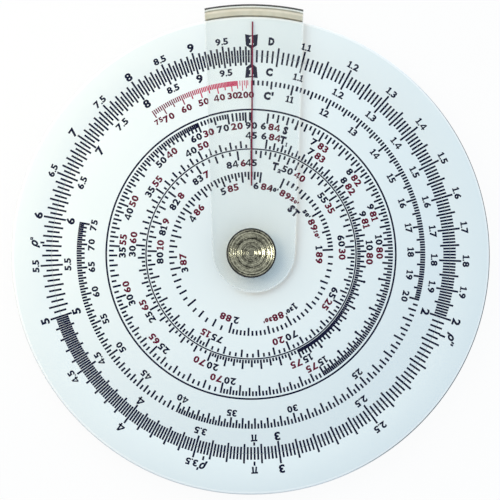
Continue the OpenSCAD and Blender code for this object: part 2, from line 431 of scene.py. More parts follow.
def set_type(char, stroke):
    """A figure from the type case, as (mesh, width), cut the first time that it is asked for."""
    if (char, stroke) not in type_case:
        mesh = bpy.data.meshes.new("type_" + char)
        if char in STRAIGHT_TYPE:
            outlines = STRAIGHT_TYPE[char]
            bm = flat_slab([[(x / 100, y / 100) for x, y in points] for points in outlines], 1.0)
        else:
            bm = drawn_figure(char, stroke)
        width = max(v.co.x for v in bm.verts) - min(v.co.x for v in bm.verts)
        bm.to_mesh(mesh)
        bm.free()
        type_case[char, stroke] = mesh, width
    return type_case[char, stroke]


def at_turn(angle):
    """Turns a thing at the index clockwise by an angle in degrees."""
    return Matrix.Rotation(-math.radians(angle), 4, "Z")


def print_line(bm, angle, inner_r, outer_r, width):
    """A straight mark along a radius."""
    place = at_turn(angle) @ Matrix.Translation((0, (inner_r + outer_r) / 2, 0))
    size = Matrix.Diagonal((width, outer_r - inner_r, INK_T, 1))
    bmesh.ops.create_cube(bm, size=1.0, matrix=place @ size)


def print_marks(bm, law, unit, runs, root, tips, decades=1):
    """The marks of a scale. A run counts units (first, end, step, middle every, long every), and each
    decade after the first repeats the runs."""
    for decade in range(decades):
        for run in runs:
            first, end, step, middle, long = (count * 10 ** decade for count in run)
            for count in range(first, end, step):
                tip = tips[2 if count % long == 0 else 1 if count % middle == 0 else 0]
                print_line(bm, law(count * unit), min(root, tip), max(root, tip), MARK_W)


def print_label(bm, text, angle, radius, height, side=0, stroke=FIGURE_STROKE):
    """Figures centred on an angle, or ending (-1) or starting (1) beside it. Each block is set straight:
    ^ starts a block of small figures at half height, and _ one of lowered ones."""
    blocks = [[]]
    reach = 0.0
    size = height
    lift = 0.0
    for char in text:
        if char in "^_":
            size = height * (SMALL_TYPE if char == "^" else LOWERED_TYPE)
            lift = (height - size) / 2 if char == "^" else height * LOWERED
            stroke = SMALL_STROKE
            blocks.append([])
            continue
        mesh, width = set_type(char, stroke)
        blocks[-1].append((mesh, reach + width * size / 2, size, lift))
        reach += (width + FIGURE_GAP) * size
    length = reach - FIGURE_GAP * size
    start = {0: -length / 2, -1: -length - LEFT_GAP, 1: RIGHT_GAP}[side]
    for block in filter(None, blocks):
        centre = (block[0][1] + block[-1][1]) / 2
        turn = at_turn(angle + math.degrees((start + centre) / radius))
        for mesh, middle, size, lift in block:
            place = turn @ Matrix.Translation((middle - centre, radius - height / 2 + lift, 0))
            stamped = mesh.copy()
            stamped.transform(place @ Matrix.Diagonal((size, size, INK_T, 1)))
            bm.from_mesh(stamped)
            bpy.data.meshes.remove(stamped)


def print_figures(bm, law, figures, radius, height, side=0):
    """The plain figures of a scale."""
    for figure in figures:
        print_label(bm, str(figure), law(figure), radius, height, side)


def print_ring(bm, radius, width):
    """A line all round the pivot."""
    half_w = width / 2
    half_t = INK_T / 2
    corners = [
        bm.verts.new((radius + dx, 0, dz))
        for dx, dz in ((-half_w, -half_t), (half_w, -half_t), (half_w, half_t), (-half_w, half_t))]
    edges = [bm.edges.new((corners[i - 1], corners[i])) for i in range(4)]
    full_turn(bm, corners + edges, LINE_STEPS)
    bmesh.ops.recalc_face_normals(bm, faces=bm.faces)


def printed_piece(name, bm, face_z, ink, body, behind=False):
    """Lays a print on a face, or turned over on a back face, and rides it on a body."""
    if behind:
        bmesh.ops.rotate(bm, matrix=Matrix.Rotation(math.pi, 3, "Y"), verts=bm.verts)
    lift = (INK_PROUD - INK_T / 2) * (-1 if behind else 1)
    bmesh.ops.translate(bm, verts=bm.verts, vec=(0, 0, face_z + lift))
    bmesh.ops.scale(bm, verts=bm.verts, vec=(MM, MM, MM))
    piece = finished_piece(name, bm, [ink], 30)
    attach(piece, body)


def screened_ink(name, thin, full):
    """Screen ink whose coat is a little uneven."""
    material, tree, shader = new_material(name)
    coat = grained(tree, 1500.0, 2.0)
    set_inputs(shader, {
        "Base Color": two_tones(coat["Mask"], full, thin),
        "Roughness": slide(coat["Mask"], result=(0.38, 0.55)),
        "Specular IOR Level": 0.08})
    return material


def tenth_turn(tenths):
    """Angle of tenths on an even scale."""
    return 36 * tenths


def log_turn(value):
    """Angle of a value on a scale that runs once round for each factor of ten."""
    return 360 * math.log10(value)


def square_turn(value):
    """Angle of a value on the scale of squares."""
    return log_turn(value) / 2


def cube_turn(value):
    """Angle of a value on the scale of cubes."""
    return log_turn(value) / 3


black_ink = screened_ink("black_ink", (0.01, 0.012, 0.045), (0.004, 0.005, 0.024))
red_ink = screened_ink("red_ink", (0.17, 0.006, 0.038), (0.1, 0.003, 0.02))

# law, unit, runs, root, tips and decades of each row of marks
BACK_MARKS = (
    (tenth_turn, 0.05, ((0, 200, 1, 10, 20),), 52.6, (51.2, 50.6, 50.1), 1),
    (square_turn, 0.1, ((10, 50, 1, 5, 10), (50, 100, 2, 10, 10)), 43.4, (42.1, 41.5, 41.0), 2),
    (cube_turn, 1, ((1, 10, 1, 1, 1),), 34.0, (32.4, 32.0, 31.6), 3),
    (cube_turn, 0.1, ((11, 50, 1, 5, 100), (52, 100, 2, 10, 100)), 34.0, (32.9, 32.5, 32.4), 3))
SQUARE_FIGURES = [figure * decade for decade in (1, 10) for figure in range(1, 10)]
CUBE_FIGURES = [figure * decade for decade in (1, 10, 100) for figure in (1, 2, 3, 4, 5, 6, 8)]
# letter and its angle, then law, figures, radius and height of the figures beside it
BACK_FIGURES = (
    ("L", 6.0, tenth_turn, range(10), 48.9, 1.7),
    ("A", 6.0, square_turn, SQUARE_FIGURES, 39.8, 1.7),
    ("K", 7.0, cube_turn, CUBE_FIGURES, 30.4, 1.6))
back_print = bmesh.new()
for law, unit, runs, root, tips, decades in BACK_MARKS:
    print_marks(back_print, law, unit, runs, root, tips, decades)
for letter, letter_turn, law, figures, figure_r, figure_h in BACK_FIGURES:
    print_figures(back_print, law, figures, figure_r, figure_h)
    print_label(back_print, letter, letter_turn, figure_r, LETTER_H)
for line_r in BACK_LINES:
    print_ring(back_print, line_r, FINE_LINE_W)
printed_piece("base_disc_back_print", back_print, PLATE_Z, black_ink, "base", behind=True)

# Scale ring: the same white sheet, cut to a ring and bonded on the base disc just inside its rim, so
# that a fine step shows all round. Its front edge is chamfered, and the inner edge only broken.
WINDOW_R = 45.68
FACE_Z = 5.1
FACE_EASE = 0.015

scale_ring = sheet_piece(
    "scale_ring_sheet",
    [(WINDOW_R, RING_Z), (RING_R, RING_Z), (RING_R, FACE_Z - RIM_CHAMFER),
     (RING_R - RIM_CHAMFER, FACE_Z), (WINDOW_R, FACE_Z)], FACE_EASE)
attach(scale_ring, "base")
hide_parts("scale_ring")

# Print on the ring: the fixed D scale, with marks that start at the inner edge and figures outside
# them, an index block with a reversed 1, and the usual gauge marks.
D_TIPS = (47.0, 47.85, 48.27)
D_FIGURE_R = 49.36
D_DIGIT_R = 49.52
D_LETTER_R = 49.2
D_LETTER_TURN = 5.4
FIGURE_H = 1.58
DIGIT_H = 1.95
GAUGE_R = 49.78
GAUGE_H = 1.85
GAUGE_TICK_R = 48.34
GAUGE_STROKE = 0.052
# sign, value, start of its tick, radius and height of the sign
GAUGE_SIGNS = (
    ("ρ″", 2.0626, 46.9, GAUGE_R, GAUGE_H), ("π", 3.1416, 47.4, D_FIGURE_R, FIGURE_H),
    ("ρ′", 3.4377, 47.4, GAUGE_R, GAUGE_H), ("ρ°", 5.7296, 47.4, GAUGE_R, GAUGE_H))
TENTHS_UNIT = 0.01
TENTHS_RUNS = ((101, 200, 1, 5, 10), (200, 500, 2, 10, 50), (500, 1000, 5, 10, 50))
STEM_W = 0.46
# Right side of the index block, from the foot of its stem, and the notch in its end
D_BLOCK = ((STEM_W / 2, WINDOW_R), (STEM_W / 2, 47.4), (1.3, 48.1), (1.5, 50.68))
D_NOTCH_R = 50.4
REVERSE_LIFT = 0.008


def print_tenths(bm, figure_r, digit_r):
    """The figures of a scale from 1 to 10: every tenth up to 2, then the halves."""
    for tenth in list(range(11, 20)) + list(range(20, 100, 5)):
        whole, part = divmod(tenth, 10)
        if part:
            print_label(bm, "%d.%d" % (whole, part), log_turn(tenth / 10), figure_r, FIGURE_H)
        else:
            print_label(bm, str(whole), log_turn(tenth / 10), digit_r, DIGIT_H)


def print_index(bm, right_side, notch_r):
    """The black block at an index."""
    left_side = [(-x, y) for x, y in reversed(right_side)]
    block = flat_slab([[*right_side, (0, notch_r), *left_side]], INK_T)
    mesh = bpy.data.meshes.new("index_block")
    block.to_mesh(mesh)
    block.free()
    bm.from_mesh(mesh)
    bpy.data.meshes.remove(mesh)


def print_index_figure(name, radius, body):
    """The white 1 that stands in an index block."""
    bm = bmesh.new()
    print_label(bm, "1", 0, radius, DIGIT_H)
    printed_piece(name, bm, FACE_Z + REVERSE_LIFT, reverse_white, body)


ring_print = bmesh.new()
print_marks(ring_print, log_turn, TENTHS_UNIT, TENTHS_RUNS, WINDOW_R, D_TIPS)
print_tenths(ring_print, D_FIGURE_R, D_DIGIT_R)
print_label(ring_print, "D", D_LETTER_TURN, D_LETTER_R, LETTER_H, stroke=LETTER_STROKE)
for sign, value, tick_r, sign_r, sign_h in GAUGE_SIGNS:
    print_line(ring_print, log_turn(value), tick_r, GAUGE_TICK_R, MARK_W)
    print_label(ring_print, sign, log_turn(value), sign_r, sign_h, stroke=GAUGE_STROKE)
print_index(ring_print, D_BLOCK, D_NOTCH_R)
printed_piece("scale_ring_print", ring_print, FACE_Z, black_ink, "base")

reverse_white = screened_ink("reverse_white", (0.86, 0.89, 0.9), (0.8, 0.83, 0.85))
print_index_figure("scale_ring_index_figure", D_LETTER_R, "base")

# Inner disc: white sheet again, thinner, that turns on the barrel inside the ring with its face flush.
# Only a hair of a gap shows round it.
INNER_DISC_R = 45.62
INNER_DISC_Z = 4.15

inner_disc = sheet_piece(
    "inner_disc_sheet",
    [(TURNING_BORE_R, INNER_DISC_Z), (INNER_DISC_R, INNER_DISC_Z), (INNER_DISC_R, FACE_Z),
     (TURNING_BORE_R, FACE_Z)], FACE_EASE)
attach(inner_disc, "inner_scale")
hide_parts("inner_disc")

# Print on the inner disc, outer part: the C scale at the edge, and inside it a slope scale that runs
# from 10 to 75 in black. Its short counterpart before the index is printed with the red below.
C_TIPS = (44.12, 43.44, 43.16)
C_FIGURE_R = 42.06
C_LETTER_R = 42.08
C_LETTER_TURN = 5.6
C_INDEX_R = 41.95
C_BLOCK = ((STEM_W / 2, INNER_DISC_R), (STEM_W / 2, 43.75), (1.22, 43.0), (1.43, 40.5))
C_NOTCH_R = 40.66
C_PI_TICK = (43.05, 43.78)
SLOPE_ROOT = 39.97
SLOPE_TIPS = (38.82, 38.12, 37.6)
SLOPE_FIGURE_R = 36.64
SLOPE_FIGURE_H = 1.54
SLOPE_LETTER_R = 36.56
SLOPE_LETTER_TURN = 6.2
SLOPE_UNIT = 0.05
SLOPE_RUNS = ((202, 400, 2, 10, 20), (400, 800, 5, 10, 20), (800, 1501, 10, 20, 100))
SLOPE_FIGURES = list(range(11, 21)) + list(range(25, 80, 5))


def slope_turn(percent):
    """Angle of a slope in percent by its sine."""
    return log_turn(10 * math.sin(math.atan(percent / 100)))


outer_print = bmesh.new()
print_marks(outer_print, log_turn, TENTHS_UNIT, TENTHS_RUNS, INNER_DISC_R, C_TIPS)
print_tenths(outer_print, C_FIGURE_R, C_FIGURE_R)
print_label(outer_print, "C", C_LETTER_TURN, C_LETTER_R, LETTER_H, stroke=LETTER_STROKE)
print_line(outer_print, log_turn(math.pi), *C_PI_TICK, MARK_W)
print_label(outer_print, "π", log_turn(math.pi), C_FIGURE_R, FIGURE_H)
print_index(outer_print, C_BLOCK, C_NOTCH_R)
print_marks(outer_print, slope_turn, SLOPE_UNIT, SLOPE_RUNS, SLOPE_ROOT, SLOPE_TIPS)
print_figures(outer_print, slope_turn, SLOPE_FIGURES, SLOPE_FIGURE_R, SLOPE_FIGURE_H)
print_label(outer_print, "C'", SLOPE_LETTER_TURN, SLOPE_LETTER_R, LETTER_H, stroke=LETTER_STROKE)
printed_piece("inner_disc_outer_print", outer_print, FACE_Z, black_ink, "inner_scale")
print_index_figure("inner_disc_index_figure", C_INDEX_R, "inner_scale")

# Print on the inner disc, inner part: sines, two tangent scales back to back on a line, and the small
# angles, in black, with the figures of the other angle in red on the far side of each mark. The short
# red slope scale is finer where its marks crowd, and its ink is thinner at that end.
S_ROOT = 32.56
S_TIPS = (31.45, 30.65, 30.15)
S_FIGURE_R = 29.5
S_LINE_R = 33.2
S_LINE_W = 0.4
T1_ROOT = 24.33
T1_TIPS = (25.12, 25.98, 26.48)
T1_FIGURE_R = 27.22
T2_ROOT = 23.77
T2_TIPS = (22.88, 22.05, 21.6)
T2_FIGURE_R = 20.9
T_LINE_R = 24.08
ST_ROOT = 18.84
ST_TIPS = (17.68, 16.98, 16.4)
ST_FIGURE_R = 15.64
ANGLE_FIGURE_H = 1.62
MINUTE = 1 / 60
DOT_R = 0.31
S_DOT_R = 29.92
T1_DOT_R = 26.72
DOTTED_DEGREES = (11, 12, 13, 14)
T1_RUNS = (
    (360, 900, 5, 10, 30), (900, 1200, 10, 30, 60), (1200, 1800, 20, 60, 300),
    (1800, 2701, 30, 60, 300))
S_RUNS = T1_RUNS[:3] + (
    (1800, 3600, 30, 60, 300), (3600, 4200, 60, 300, 600), (4200, 4800, 120, 120, 600),
    (4800, 5401, 300, 300, 600))
T2_RUNS = ((2700, 3600, 30, 60, 300), (3600, 4500, 20, 60, 300), (4500, 5041, 10, 30, 60))
ST_RUNS = ((40, 60, 1, 5, 10), (60, 120, 2, 10, 30), (120, 361, 5, 10, 30))
T1_FIGURES = (6, 7, 8, 9, 10, 15, 20, 25, 30, 35, 40)
S_FIGURES = T1_FIGURES + (50, 60, 70)
T2_FIGURES = (50, 55, 60, 65, 70, 75, 80, 81, 82, 83, 84)
# degrees: (black figures, red figures)
ST_FIGURES = {
    40 / 60: ("^40'", "89^20'"), 50 / 60: ("^50'", "89^10'"), 1: ("1", "89"),
    1.5: ("1^30'", "88^30'"), 2: ("2", "88"), 3: ("3", "87"), 4: ("4", "86"), 5: ("5", "85"),
    6: ("6", "84")}
# letters, angle and radius
SCALE_LETTERS = (("S", 15.5, 29.43), ("T_1", 16.2, 27.13), ("T_2", 16.6, 20.81), ("ST", 44.7, 13.8))
FALL_WHOLE_FROM = 25
FALL_END = 75
FALL_MARKS = [22.5, 20, 17.5, 15, 12.5, 0] + list(range(FALL_WHOLE_FROM, FALL_END + 1))
FALL_FIGURES = (70, 60, 50, 40, 30, 20, 0)
FALL_END_R = 37.22
FALL_END_H = 1.2
FALL_MARK_W = 0.28
FALL_WIDE_STEP_W = 0.7 * FALL_MARK_W
FALL_FILL = 0.9
# Where the red coat runs from full to thin, in metres across the disc
FALL_COAT = (-18.0 * MM, -10.0 * MM)


def sine_turn(degrees):
    """Angle of a sine from 0.1 to 1."""
    return log_turn(10 * math.sin(math.radians(degrees)))


def tangent_turn(degrees):
    """Angle of a tangent, which takes one turn up to 45 degrees and a second one after."""
    return log_turn(10 * math.tan(math.radians(degrees)))


def small_turn(degrees):
    """Angle of the sine of a small angle."""
    return log_turn(100 * math.sin(math.radians(degrees)))


def fall_turn(percent):
    """Angle of a slope in percent by its cosine, which falls before the index."""
    return log_turn(math.cos(math.atan(percent / 100)))


def fall_mark_width(percent):
    """Width of a mark of the red scale, which is finer where the marks crowd."""
    pitch = math.radians(fall_turn(percent) - fall_turn(percent + 1)) * SLOPE_TIPS[0]
    return min(FALL_MARK_W, FALL_FILL * pitch) if percent >= FALL_WHOLE_FROM else FALL_WIDE_STEP_W


fall_ink, tree, shader = new_material("fall_ink")
fall_across = along(object_place(tree), (1.0, 0.0, 0.0))
fall_coat = slide(fall_across, FALL_COAT)
set_inputs(shader, {
    "Base Color": two_tones(fall_coat, (0.17, 0.005, 0.04), (0.62, 0.028, 0.11)),
    "Roughness": 0.45,
    "Specular IOR Level": 0.08})

inner_print = bmesh.new()
red_print = bmesh.new()
red_marks = bmesh.new()
for percent in FALL_MARKS:
    tip = SLOPE_TIPS[2 if percent % 10 == 0 else 1 if percent % 5 == 0 else 0]
    print_line(red_marks, fall_turn(percent), tip, SLOPE_ROOT, fall_mark_width(percent))
print_figures(red_print, fall_turn, FALL_FIGURES, SLOPE_FIGURE_R, SLOPE_FIGURE_H)
print_label(red_print, str(FALL_END), fall_turn(FALL_END), FALL_END_R, FALL_END_H)
printed_piece("inner_disc_red_marks", red_marks, FACE_Z, fall_ink, "inner_scale")
for law, runs, root, tips in (
        (sine_turn, S_RUNS, S_ROOT, S_TIPS), (tangent_turn, T1_RUNS, T1_ROOT, T1_TIPS),
        (tangent_turn, T2_RUNS, T2_ROOT, T2_TIPS), (small_turn, ST_RUNS, ST_ROOT, ST_TIPS)):
    print_marks(inner_print, law, MINUTE, runs, root, tips)
for law, figures, figure_r in (
        (sine_turn, S_FIGURES, S_FIGURE_R), (tangent_turn, T1_FIGURES, T1_FIGURE_R),
        (tangent_turn, T2_FIGURES, T2_FIGURE_R)):
    print_figures(inner_print, law, figures, figure_r, ANGLE_FIGURE_H, -1)
    for figure in figures:
        print_label(red_print, str(90 - figure), law(figure), figure_r, ANGLE_FIGURE_H, 1)
for degrees, (black_text, red_text) in ST_FIGURES.items():
    print_label(inner_print, black_text, small_turn(degrees), ST_FIGURE_R, ANGLE_FIGURE_H, -1)
    print_label(red_print, red_text, small_turn(degrees), ST_FIGURE_R, ANGLE_FIGURE_H, 1)
for top_figure, figure_r in (("90", S_FIGURE_R), ("45", T1_FIGURE_R), ("45", T2_FIGURE_R)):
    print_label(inner_print, top_figure, 0, figure_r, ANGLE_FIGURE_H)
for degrees in DOTTED_DEGREES:
    for turn, dot_at in ((sine_turn(degrees), S_DOT_R), (tangent_turn(degrees), T1_DOT_R)):
        bmesh.ops.create_cone(
            inner_print, cap_ends=True, segments=12, radius1=DOT_R, radius2=DOT_R, depth=INK_T,
            matrix=at_turn(turn) @ Matrix.Translation((0, dot_at, 0)))
for letters, turn, letters_r in SCALE_LETTERS:
    print_label(inner_print, letters, turn, letters_r, LETTER_H, stroke=LETTER_STROKE)
print_ring(inner_print, S_LINE_R, S_LINE_W)
print_ring(inner_print, T_LINE_R, FINE_LINE_W)
printed_piece("inner_disc_inner_print", inner_print, FACE_Z, black_ink, "inner_scale")
printed_piece("inner_disc_red_print", red_print, FACE_Z, red_ink, "inner_scale")

# Cursor arms: two strips of polished clear acrylic, one before and one behind the discs, with a
# rounded end at the pivot and sides that spread to the rim. Their outer faces have a wide chamfer with
# a scraped ledge round it, partly white as a painted highlight line. The sawn edges are a little hazy,
# and those away from the lamp, on the right and at the end, tint light yellow as a painted warm shade.
ARM_T = 1.0
ARM_END_R = 9.4
ARM_END_X = 0.55
ARM_END_Y = 0.6
ARM_TIP_HALF_W = 11.45
ARM_TIP_R = 57.5
ARM_CHAMFER_W = 0.65
ARM_CHAMFER_H = 0.13
ARM_LEDGE_W = 0.2
ARM_END_STEPS = 112
ARM_TIP_STEPS = 20
ARM_BORE_STEPS = 64
# A face is level when its normal reaches this far up or down
LEVEL = 0.9
BACK_ARM_Z = 1.35
FRONT_ARM_Z = 5.45
ACRYLIC_IOR = 1.49
SAWN_ROUGHNESS = 0.12
SAWN_CLEAR = (0.94, 0.96, 1.0)
# Edges facing away from the lamp tint the light that passes them: a painted warm shade band by the arm
AWAY_FROM_LAMP = (0.85, -0.53, 0.0)
AWAY_FROM_LAMP_SPAN = (-0.2, 0.6)
SHADE_TINT_GOING_IN = (0.42, 0.2, 0.0)
SHADE_TINT_COMING_OUT = (0.79, 0.79, 0.77)


def show(output, share, first, second):
    """Sends a mix of two shaders to an output, with a share of the second."""
    mixed = put_node(output.id_data, "MixShader", {0: share, 1: first[0], 2: second[0]})
    set_inputs(output, {"Surface": mixed[0]})


def clear_acrylic(name, tint, roughness, lets_through, clearness=1.0):
    """Clear acrylic that bends light and lets the lamps' light reach what is behind it."""
    material, tree, shader = new_material(name)
    haze = grained(tree, 120.0, 1.5)
    scuffs = grained(tree, 900.0, 1.0)
    set_inputs(shader, {
        "Base Color": two_tones(haze["Mask"], [0.985 * part for part in tint], tint),
        "Roughness": roughness,
        "IOR": ACRYLIC_IOR,
        "Transmission Weight": clearness,
        "Normal": bumps(scuffs["Height"], 0.03, 0.00001)})
    see_through = put_node(tree, "BsdfTransparent", {"Color": (*lets_through, 1)})
    path = put_node(tree, "LightPath")
    lighting = reckon("MAXIMUM", path["Is Shadow Ray"], path["Is Diffuse Ray"])
    show(tree.nodes["Material Output"], lighting, shader.outputs, see_through)
    return material, tree, see_through[0].node


def arm_side(side, radius):
    """Where the right (1) or left (-1) side of an arm crosses a circle about the pivot, in mm."""
    crossings = intersect_line_sphere_2d(
        (ARM_END_X + side * touch_x, ARM_END_Y + touch_y),
        (ARM_END_X + side * ARM_TIP_HALF_W, ARM_TIP_R), (0, 0), radius, False)
    return max(crossings, key=lambda point: point.y)


def sweep_arc(bm, start, centre, stop, steps):
    """Edges from a start point round a centre, anticlockwise, to the angle of a stop point."""
    first = bm.verts.new((start[0] * MM, start[1] * MM, 0))
    angle = math.atan2(stop[1] - centre[1], stop[0] - centre[0])
    angle -= math.atan2(start[1] - centre[1], start[0] - centre[0])
    swept = bmesh.ops.spin(
        bm, geom=[first], cent=(centre[0] * MM, centre[1] * MM, 0), axis=(0, 0, 1),
        angle=angle % (2 * math.pi), steps=steps)
    last = [v for v in swept["geom_last"] if isinstance(v, bmesh.types.BMVert)][0]
    return first, last


def side_to_side(bm, radius, steps):
    """Edges round the pivot from the right side of an arm to the left."""
    return sweep_arc(bm, arm_side(1, radius), (0, 0), arm_side(-1, radius), steps)


# Points where the sides touch the rounded end, from the end's centre
arm_reach = math.hypot(ARM_TIP_HALF_W, ARM_TIP_R - ARM_END_Y)
touch_angle = math.atan2(ARM_TIP_R - ARM_END_Y, ARM_TIP_HALF_W) - math.acos(ARM_END_R / arm_reach)
touch_x = ARM_END_R * math.cos(touch_angle)
touch_y = ARM_END_R * math.sin(touch_angle)


def arm_strip(low, faces_back):
    """The solid of an arm whose underside is at a height, chamfered on its outer face."""
    bm = bmesh.new()
    right_touch = (ARM_END_X + touch_x, ARM_END_Y + touch_y)
    left_touch = (ARM_END_X - touch_x, ARM_END_Y + touch_y)
    end_first, end_last = sweep_arc(bm, left_touch, (ARM_END_X, ARM_END_Y), right_touch, ARM_END_STEPS)
    tip_first, tip_last = side_to_side(bm, ARM_TIP_R, ARM_TIP_STEPS)
    bm.edges.new((end_last, tip_first))
    bm.edges.new((tip_last, end_first))
    bmesh.ops.create_circle(bm, radius=TURNING_BORE_R * MM, segments=ARM_BORE_STEPS)
    bmesh.ops.triangle_fill(bm, use_beauty=True, edges=bm.edges)
    raise_faces(bm, bm.faces[:], (ARM_T - ARM_CHAMFER_H) * MM)
    top_faces = [f for f in bm.faces if f.normal.z > LEVEL]
    borders = [
        bmesh.ops.inset_region(
            bm, faces=top_faces, use_boundary=True, use_even_offset=True, thickness=width * MM)
        for width in (ARM_LEDGE_W, ARM_CHAMFER_W)]
    top_corners = list({v for f in top_faces for v in f.verts})
    bmesh.ops.translate(bm, verts=top_corners, vec=(0, 0, ARM_CHAMFER_H * MM))
    if faces_back:
        bmesh.ops.scale(bm, verts=bm.verts, vec=(1, 1, -1))
        bmesh.ops.translate(bm, verts=bm.verts, vec=(0, 0, ARM_T * MM))
    bmesh.ops.recalc_face_normals(bm, faces=bm.faces)
    for face in bm.faces:
        face.material_index = 0 if abs(face.normal.z) > LEVEL else 1
    for face in borders[0]["faces"]:
        if ARM_END_R - 1 < face.calc_center_median().xy.length / MM < ARM_TIP_R - ARM_LEDGE_W:
            face.material_index = 2
    bmesh.ops.translate(bm, verts=bm.verts, vec=(0, 0, low * MM))
    return bm


clear_face = clear_acrylic("clear_acrylic", (0.985, 0.99, 0.99), 0.02, (0.985, 0.99, 0.985))[0]
# The scraped ledge is partly white: a painted highlight line round the arm's outer face
ledge_highlight = clear_acrylic(
    "clear_acrylic_ledge_highlight", (0.99, 0.99, 0.99), SAWN_ROUGHNESS, (0.99, 0.99, 0.99), 0.8)[0]
sawn_edge, tree, sawn_clear = clear_acrylic(
    "clear_acrylic_sawn", (0.93, 0.94, 0.91), SAWN_ROUGHNESS, SAWN_CLEAR)
sawn_normal = put_node(tree, "TexCoord")["Normal"]
# Painted shade: edges that face away from the lamp tint the light that passes them
away_from_lamp_share = slide(along(sawn_normal, AWAY_FROM_LAMP), AWAY_FROM_LAMP_SPAN, smooth=True)
coming_out = put_node(tree, "NewGeometry")["Backfacing"]
edge_shade_tint = two_tones(coming_out, SHADE_TINT_GOING_IN, SHADE_TINT_COMING_OUT)
set_inputs(sawn_clear, {"Color": two_tones(away_from_lamp_share, SAWN_CLEAR, edge_shade_tint)})

for name, low, faces_back, node in (
        ("cursor_back_arm_clear", BACK_ARM_Z, True, "cursor_back_arm"),
        ("cursor_front_arm_clear", FRONT_ARM_Z, False, "cursor_front_arm")):
    arm = finished_piece(name, arm_strip(low, faces_back), [clear_face, sawn_edge, ledge_highlight], 4)
    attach(arm, "cursor")
    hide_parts(node)

# Hairlines: a fine groove ruled in the face of each arm that lies next to the print, filled with dark
# red paint. Each is a bar with softened edges, sunk just inside the clear strip.
HAIRLINE_W = 0.34
HAIRLINE_T = 0.1
HAIRLINE_START_R = 15.6
HAIRLINE_END_R = 53.55
HAIRLINE_SUNK = 0.01
HAIRLINE_EASE = 0.03
HAIRLINE_TURN = 0.25

hairline_paint = screened_ink("hairline_paint", (0.26, 0.018, 0.055), (0.18, 0.012, 0.04))
for name, low, node in (
        ("back_hairline_paint", BACK_ARM_Z + ARM_T - HAIRLINE_SUNK - HAIRLINE_T, "back_hairline"),
        ("front_hairline_paint", FRONT_ARM_Z + HAIRLINE_SUNK, "front_hairline")):
    bm = bmesh.new()
    middle = Vector((0, (HAIRLINE_START_R + HAIRLINE_END_R) / 2, low + HAIRLINE_T / 2)) * MM
    size = (HAIRLINE_W * MM, (HAIRLINE_END_R - HAIRLINE_START_R) * MM, HAIRLINE_T * MM, 1)
    place = at_turn(HAIRLINE_TURN) @ Matrix.Translation(middle)
    bmesh.ops.create_cube(bm, size=1.0, matrix=place @ Matrix.Diagonal(size))
    ease_edges(bm, HAIRLINE_EASE, 2, 60)
    hairline = finished_piece(name, bm, [hairline_paint], 40)
    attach(hairline, "cursor")
    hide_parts(node)

# Bridge: a curved bar of aged beige plastic outside the rim, bonded between the tips of the two arms.
# Its top has beige layers, a painted white highlight and a painted black shade line by its outer edge.
BRIDGE_R = 55.1
BRIDGE_LOW = 2.35
BRIDGE_HIGH = 5.45
BRIDGE_EASE = 0.06
BRIDGE_STEPS = 48
BAR_TOP_NORMAL = (0.3, 0.5)
# Bands of the bar's top from the rim outwards, as (share of its width, colour)
# Near the outer edge the white band is a painted highlight and the black band is painted shade
BAR_BANDS_AND_PAINTED_LIGHT = (
    (0.0, (0.84, 0.77, 0.64)), (0.1, (0.76, 0.7, 0.57)), (0.34, (0.76, 0.7, 0.57)),
    (0.44, (0.92, 0.83, 0.7)), (0.56, (0.92, 0.83, 0.7)), (0.64, (0.5, 0.45, 0.35)),
    (0.69, (0.4, 0.36, 0.28)), (0.73, (0.98, 0.98, 0.93)), (0.85, (0.98, 0.98, 0.95)),
    (0.87, (0.012, 0.011, 0.01)), (1.0, (0.012, 0.011, 0.01)))

beige_bar, tree, shader = new_material("beige_bar")
bar_clouds = grained(tree, 650.0, 2.4)
bar_bite = grained(tree, 4000.0, 1.0)
bar_across = slide(axis_distance(tree), (BRIDGE_R * MM, ARM_TIP_R * MM))
# The bands paint a highlight and a shade line on the bar's top
bar_bands_and_painted_light = put_node(tree, "ValToRGB", {0: bar_across})[0]
band_stops = bar_bands_and_painted_light.node.color_ramp.elements
band_stops[0].color = (*BAR_BANDS_AND_PAINTED_LIGHT[0][1], 1)
band_stops[1].color = (*BAR_BANDS_AND_PAINTED_LIGHT[-1][1], 1)
for share, colour in BAR_BANDS_AND_PAINTED_LIGHT[1:-1]:
    band_stops.new(share).color = (*colour, 1)
bar_normal = put_node(tree, "NewGeometry")["True Normal"]
bar_up = along(bar_normal, (0.0, 0.0, 1.0))
bar_on_top = slide(reckon("ABSOLUTE", bar_up), BAR_TOP_NORMAL)
bar_sides = two_tones(bar_clouds["Mask"], (0.76, 0.7, 0.56), (0.9, 0.83, 0.68))
bar_colour = two_tones(bar_on_top, bar_sides, bar_bands_and_painted_light)
bar_dirt = two_tones(bar_clouds["Mask"], (0.9, 0.88, 0.84), (1.0, 1.0, 1.0))
bar_dirt_and_painted_light = put_node(
    tree, "Mix", {0: 1.0, 6: bar_colour, 7: bar_dirt}, data_type="RGBA", blend_type="MULTIPLY")[2]
set_inputs(shader, {
    "Base Color": bar_dirt_and_painted_light,
    "Roughness": slide(bar_clouds["Mask"], result=(0.3, 0.45)),
    "Normal": bumps(bar_bite["Height"], 0.3, 0.00003)})

